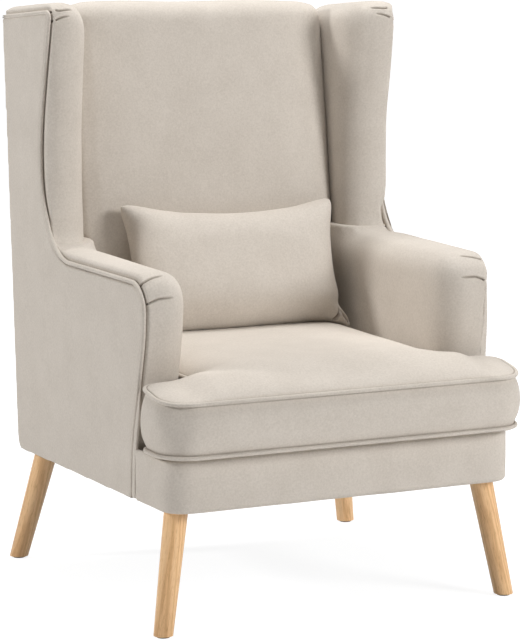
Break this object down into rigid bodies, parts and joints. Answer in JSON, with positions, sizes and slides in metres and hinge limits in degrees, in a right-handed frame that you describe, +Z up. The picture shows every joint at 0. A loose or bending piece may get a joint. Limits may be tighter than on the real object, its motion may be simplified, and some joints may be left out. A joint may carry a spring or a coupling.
{
  "type": "high back armchair",
  "caption": "Upholstered wing armchair with a loose T-shaped seat cushion, a loose lumbar pillow, piped seams and splayed wooden legs.",
  "frame": {"origin": "on the floor, under the centre of the chair's bounding box", "axes": "+Z up, the chair faces -Y, X across with the plane of symmetry at X = 0"},
  "size_m": [0.7136, 0.7226, 1.0181],
  "materials": {
    "upholstery": "soft woven upholstery, warm pale greige",
    "piping": "self-covered piping cord",
    "deck_cloth": "plain deck cloth",
    "dust_cloth": "black non-woven dust cover",
    "webbing": "elastic webbing",
    "fibre_fill": "polyester fibre",
    "foam": "upholstery foam",
    "oak": "light oak, matt lacquer",
    "frame_wood": "sawn softwood",
    "spring_steel": "oiled spring wire",
    "zinc_steel": "zinc plated",
    "glide": "brown felt-faced plastic"
  },
  "bodies": {
    "chair": {"back_cushion": "upholstery", "back_top_rail": "frame_wood", "back_tuck_rail": "frame_wood", "back_webbing": "webbing", "corner_blocks": "frame_wood", "dust_cover": "dust_cloth", "floor_glides": "glide", "frame_dowels": "frame_wood", "front_apron": "upholstery", "front_left_leg": "oak", "front_rail": "frame_wood", "front_right_leg": "oak", "left_arm_pad": "upholstery", "left_arm_post": "frame_wood", "left_arm_rail": "frame_wood", "left_back_post": "frame_wood", "left_side_panel": "upholstery", "left_side_piping": "piping", "left_side_rail": "frame_wood", "left_wing_pad": "upholstery", "left_wing_post": "frame_wood", "left_wing_top_rail": "frame_wood", "leg_bolts": "zinc_steel", "leg_inserts": "zinc_steel", "outer_back": "upholstery", "rear_left_leg": "oak", "rear_rail": "frame_wood", "rear_right_leg": "oak", "right_arm_pad": "upholstery", "right_arm_post": "frame_wood", "right_arm_rail": "frame_wood", "right_back_post": "frame_wood", "right_side_panel": "upholstery", "right_side_piping": "piping", "right_side_rail": "frame_wood", "right_wing_pad": "upholstery", "right_wing_post": "frame_wood", "right_wing_top_rail": "frame_wood", "seat_deck": "deck_cloth", "seat_springs": "spring_steel", "spring_clips": "spring_steel"},
    "seat_cushion": {"seat_cushion_cover": "upholstery", "seat_foam_core": "foam", "seat_top_piping": "piping", "seat_bottom_piping": "piping"},
    "lumbar_pillow": {"pillow_cover": "upholstery", "pillow_fill": "fibre_fill"}
  },
  "joints": [
    {"name": "seat_cushion_pull_out", "type": "slide", "parent": "chair", "child": "seat_cushion", "axis": [0, -0.9397, 0.342], "range_m": [0, 0.45]},
    {"name": "lumbar_pillow_lift_off", "type": "slide", "parent": "seat_cushion", "child": "lumbar_pillow", "axis": [0, -0.5, 0.866], "range_m": [0, 0.3]}
  ]
}
